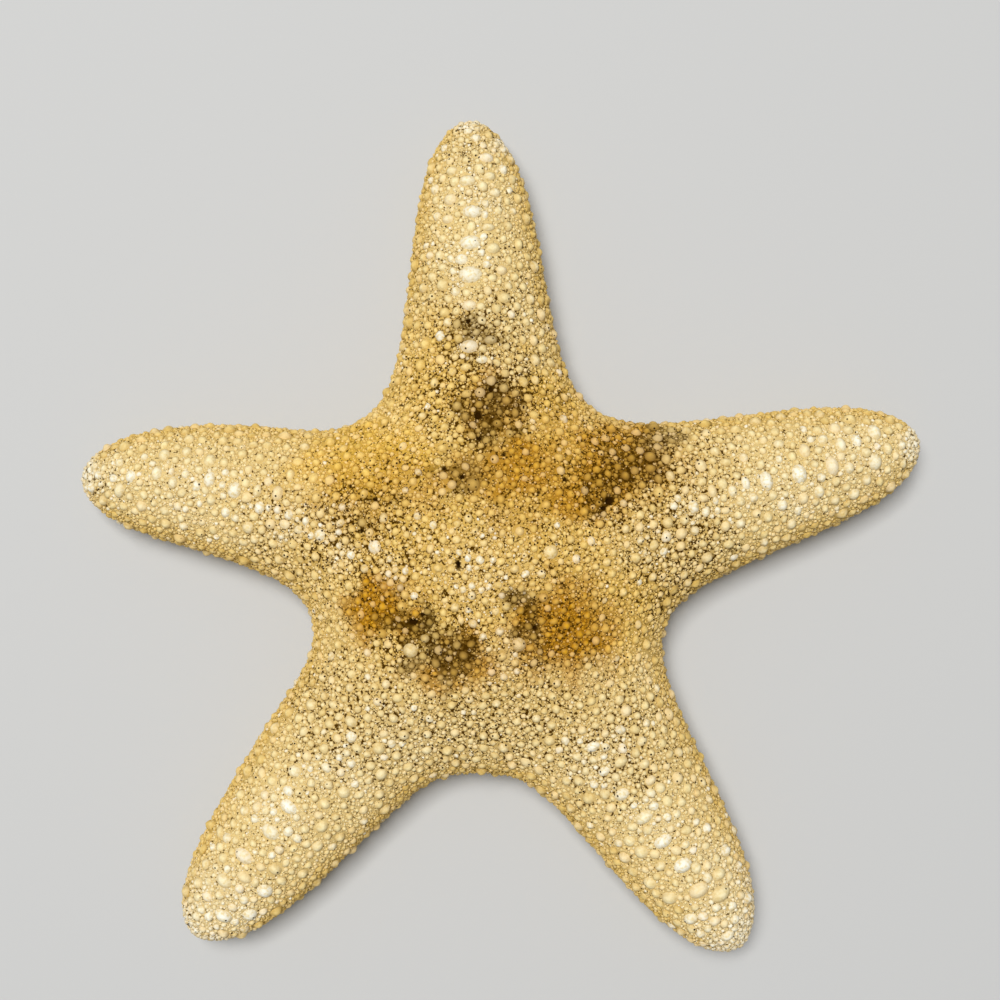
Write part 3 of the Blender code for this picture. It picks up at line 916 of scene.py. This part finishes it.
def groove_spines(random):
    """Two rows of blunt little spines along each side of every groove, the inner row leaning over it."""
    spines = []
    for arm, side, row in itertools.product(ARMS, (-1, 1), SPINE_ROWS):
        for along in np.arange(FIRST_SPINE, arm[1] * LAST_SPINE, row[1]):
            spines.append(spine(arm, along, side, row, random))
    centres, ways, firsts, sizes = (np.array(column) for column in zip(*spines))
    pale = random.uniform(0.25, 0.7, len(centres))
    return domes("groove_spines", FORMS["groove_spines"], centres, ways, firsts, sizes, pale, random, 0.03)


class Nodes:
    """A material's node tree, with short ways to add and join nodes."""

    def __init__(self, name):
        self.material = bpy.data.materials.new(name)
        self.material.use_nodes = True
        self.tree = self.material.node_tree
        self.surface = self.tree.nodes["Principled BSDF"]

    def add(self, kind, **settings):
        node = self.tree.nodes.new(kind)
        for key, value in settings.items():
            setattr(node, key, value)
        return node

    def join(self, start, end):
        self.tree.links.new(start, end)

    def value(self, name):
        """The float that the mesh stores under a name."""
        return self.add("ShaderNodeAttribute", attribute_name=name).outputs["Fac"]

    def math(self, operation, first, second, clamp=False):
        node = self.add("ShaderNodeMath", operation=operation, use_clamp=clamp)
        for socket, given in zip(node.inputs, (first, second)):
            if isinstance(given, (int, float)):
                socket.default_value = given
            else:
                self.join(given, socket)
        return node.outputs[0]

    def total(self, start, *parts):
        """start and each part's value times its weight, added up and kept between 0 and 1."""
        result = start
        for given, weight in parts:
            result = self.math("ADD", result, self.math("MULTIPLY", given, weight))
        return self.math("ADD", result, 0.0, clamp=True)

    def blend(self, share, first, second):
        node = self.add("ShaderNodeMix", data_type="RGBA")
        for socket, given in zip((node.inputs[0], node.inputs[6], node.inputs[7]), (share, first, second)):
            if isinstance(given, (int, float, tuple)):
                socket.default_value = given
            else:
                self.join(given, socket)
        return node.outputs[2]

    def ramp(self, share, *stops):
        node = self.add("ShaderNodeValToRGB")
        elements = node.color_ramp.elements
        while len(elements) < len(stops):
            elements.new(0.5)
        for element, (place, colour) in zip(elements, stops):
            element.position = place
            element.color = colour
        self.join(share, node.inputs[0])
        return node.outputs[0]

    def place(self):
        return self.add("ShaderNodeTexCoord").outputs["Object"]

    def noise(self, size, detail=3):
        """Noise whose lumps are about size across."""
        node = self.add("ShaderNodeTexNoise")
        node.inputs["Scale"].default_value = 1 / size
        node.inputs["Detail"].default_value = detail
        self.join(self.place(), node.inputs["Vector"])
        return node.outputs["Fac"]

    def dots(self, size, share):
        """1 in small round dots, one in each cell of about size for this share of the cells."""
        node = self.add("ShaderNodeTexVoronoi")
        node.inputs["Scale"].default_value = 1 / size
        self.join(self.place(), node.inputs["Vector"])
        lot = self.add("ShaderNodeSeparateColor")
        self.join(node.outputs["Color"], lot.inputs[0])
        near = self.ramp(node.outputs["Distance"], (0.26, WHITE), (0.40, BLACK))
        return self.math("MULTIPLY", near, self.math("LESS_THAN", lot.outputs[0], share))

    def bump(self, height, distance, strength):
        node = self.add("ShaderNodeBump")
        node.inputs["Distance"].default_value = distance
        node.inputs["Strength"].default_value = strength
        self.join(height, node.inputs["Height"])
        self.join(node.outputs["Normal"], self.surface.inputs["Normal"])


# The dark and the light colour of the plain body, and of each stain. On the grains the lightness between
# dark and light also carries painted highlight on the tops and painted shade at the feet
PLAIN = ((0.64, 0.44, 0.150, 1), (0.96, 0.81, 0.425, 1))
GOLD_AND_SHADE_TONES = ((0.57, 0.335, 0.040, 1), (0.99, 0.67, 0.150, 1))
IVORY = ((0.78, 0.65, 0.38, 1), (0.99, 0.97, 0.84, 1))
RUSTY = ((0.32, 0.130, 0.001, 1), (0.78, 0.41, 0.020, 1))
SOOT_AND_SHADE_TONES = ((0.070, 0.032, 0.001, 1), (0.45, 0.27, 0.050, 1))
PINKISH = (0.88, 0.66, 0.37, 1)
DEEP_BROWN = (0.070, 0.030, 0.001, 1)
# Near black: for the grains' pores and sooty skin, and as painted shade on the floors of the holes
PORE_AND_PIT_SHADE_COLOUR = (0.028, 0.011, 0.001, 1)
WHITE = (1, 1, 1, 1)
DIM = (0.35, 0.35, 0.35, 1)
BLACK = (0, 0, 0, 1)


def stained(nodes, lightness, mottle):
    """The colour of the body at a lightness from 0 to 1, with the stains laid over it in turn."""
    colour = nodes.blend(lightness, *PLAIN)
    # the golden tones, and the sooty tones below, also paint the shade on the steep flanks
    colour = nodes.blend(nodes.value("gold_and_flank_shade"), colour, nodes.blend(lightness, *GOLD_AND_SHADE_TONES))
    pale = nodes.math("MULTIPLY", nodes.value("pale"), nodes.ramp(mottle, (0.38, DIM), (0.52, WHITE)))
    colour = nodes.blend(pale, colour, nodes.blend(lightness, *IVORY))
    for name, tones in (("rust", RUSTY), ("soot_and_flank_shade", SOOT_AND_SHADE_TONES)):
        share = nodes.math("MULTIPLY", nodes.value(name), nodes.math("ADD", mottle, 0.45), clamp=True)
        colour = nodes.blend(share, colour, nodes.blend(lightness, *tones))
    return colour


def finish(nodes, colour, roughness, gloss, grit, grit_depth):
    nodes.join(colour, nodes.surface.inputs["Base Color"])
    nodes.surface.inputs["Roughness"].default_value = roughness
    nodes.surface.inputs["Specular IOR Level"].default_value = gloss
    nodes.bump(nodes.noise(grit), grit_depth, 0.7)
    return nodes.material


def skin_material():
    """Tan skin between the grains, open in dark pores, most of all where the starfish is speckled. The
    floors of the holes are painted near black as painted shade.
    """
    nodes = Nodes("dried_skin")
    mottle = nodes.noise(0.9 * MM)
    colour = stained(nodes, nodes.total(-0.05, (mottle, 0.6), (nodes.value("speck"), -0.25)), mottle)
    openness = nodes.total(0.44, (nodes.value("speck"), 0.13), (nodes.noise(0.7 * MM), -1.0))
    colour = nodes.blend(nodes.ramp(openness, (0.0, BLACK), (0.10, WHITE)), colour, DEEP_BROWN)
    # painted shade: the floors of the holes go near black over the dark skin, and sooty patches darken too
    pit_shade_and_soot = nodes.total(0.0, (nodes.value("hole"), 1.0), (nodes.value("soot_and_flank_shade"), 0.4))
    colour = nodes.blend(pit_shade_and_soot, colour, PORE_AND_PIT_SHADE_COLOUR)
    return finish(nodes, colour, 0.9, 0.0, 0.4 * MM, 0.2 * MM)


def grain_material(name, painted_light_gain, tone_gain, pore_share, grit, grit_depth):
    """Limy grains with painted highlight on top and painted shade at the foot, tinted by the stains, with a
    few dark pores.
    """
    nodes = Nodes(name)
    mottle = nodes.noise(0.7 * MM)
    speck = nodes.value("speck")
    tone = nodes.value("tone")
    # painted light: the height on the dome lightens the tops and darkens the feet
    lightness = nodes.total(
        -0.34, (nodes.value("crown"), painted_light_gain), (tone, tone_gain), (mottle, 1.0), (speck, -0.14)
    )
    pinkness = nodes.math("MULTIPLY", nodes.math("GREATER_THAN", tone, 0.82), 0.30)
    colour = nodes.blend(pinkness, stained(nodes, lightness, mottle), PINKISH)
    share = nodes.math("ADD", 0.1 * pore_share, nodes.math("MULTIPLY", speck, pore_share))
    colour = nodes.blend(nodes.dots(0.75 * MM, share), colour, PORE_AND_PIT_SHADE_COLOUR)
    return finish(nodes, colour, 0.75, 0.08, grit, grit_depth)


def plain_material(name, colour, roughness):
    nodes = Nodes(name)
    nodes.surface.inputs["Base Color"].default_value = colour
    nodes.surface.inputs["Roughness"].default_value = roughness
    return nodes.material


def dress(thing, material):
    thing.data.materials.append(material)
    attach(thing, "root")
    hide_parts("star_body")


def floor():
    mesh = bpy.data.meshes.new("floor")
    reach = FLOOR_REACH
    corners = [(-reach, -reach, 0), (reach, -reach, 0), (reach, reach, 0), (-reach, reach, 0)]
    mesh.from_pydata(corners, [], [(0, 1, 2, 3)])
    thing = bpy.data.objects.new("floor", mesh)
    thing.location.z = -FLOOR_DROP
    thing.data.materials.append(plain_material("floor", FLOOR_COLOUR, 0.9))
    bpy.context.scene.collection.objects.link(thing)


def area_light(name, place, side, energy):
    light = bpy.data.lights.new(name, "AREA")
    light.size = side
    light.energy = energy
    thing = bpy.data.objects.new(name, light)
    thing.location = place
    thing.rotation_euler = (-thing.location).to_track_quat("-Z", "Y").to_euler()
    bpy.context.scene.collection.objects.link(thing)


def lights():
    """A soft key from the upper left, and even light from all round."""
    area_light("key", KEY_PLACE, KEY_SIDE, KEY_ENERGY)
    world = bpy.data.worlds.new("studio")
    world.use_nodes = True
    surroundings = world.node_tree.nodes["Background"]
    surroundings.inputs["Color"].default_value = SURROUNDINGS
    surroundings.inputs["Strength"].default_value = SURROUNDINGS_STRENGTH
    bpy.context.scene.world = world


def camera():
    """Looks straight down on the disc's middle. The shift puts it where the photograph has it."""
    data = bpy.data.cameras.new("camera")
    data.sensor_width = SENSOR
    data.lens = SENSOR * (VIEW_HEIGHT - OUTLINE_HEIGHT) / (IMAGE_SIDE * MM_PER_PIXEL * MM)
    data.shift_x = (IMAGE_SIDE / 2 - PIXEL_ORIGIN[0]) / IMAGE_SIDE
    data.shift_y = (PIXEL_ORIGIN[1] - IMAGE_SIDE / 2) / IMAGE_SIDE
    data.clip_start = 0.01
    thing = bpy.data.objects.new("camera", data)
    thing.location = (DISC_MIDDLE[0], DISC_MIDDLE[1], VIEW_HEIGHT)
    bpy.context.scene.collection.objects.link(thing)
    bpy.context.scene.camera = thing


def clear_of(placed, granules_seen):
    """The placed tubercles without the scattered ones in a crust, or where a seen granule or a hole is."""
    crusted = crust(np.array([centre for centre, _ in placed])) > 0.3
    kept = placed[:len(LANDMARKS)]
    for (centre, radius), crusty in list(zip(placed, crusted))[len(LANDMARKS):]:
        free = all(np.linalg.norm(centre - other) > 0.7 * radius + size for other, size in granules_seen)
        if free and not crusty:
            kept.append((centre, radius))
    return kept


def main():
    random = np.random.default_rng(7)
    skin = bare_skin()
    seen = [(seen_at(granule[:2]), granule[2] * MM) for granule in BRIGHT_GRANULES]
    holes = hole_places()
    placed = clear_of(upper_tubercles(), seen + holes)
    knobs_placed = sole_knobs()
    large = grain_material("tubercle", 0.60, 0.20, 0.16, 0.5 * MM, 0.16 * MM)
    small = grain_material("granule", 0.55, 0.25, 0.16, 0.4 * MM, 0.12 * MM)
    fine = grain_material("fine_grain", 0.25, 0.50, 0.50, 0.3 * MM, 0.08 * MM)
    dress(skin, skin_material())
    dress(large_tubercles(placed, random), large)
    dress(bright_granules(random), large)
    dress(knobs(knobs_placed, random), large)
    for piece in granules(skin, placed + seen + knobs_placed + holes, random):
        dress(piece, small if "granules" in piece.name else fine)
    dress(groove_spines(random), small)
    floor()
    lights()
    camera()
    bpy.context.scene.view_settings.view_transform = "Standard"


main()
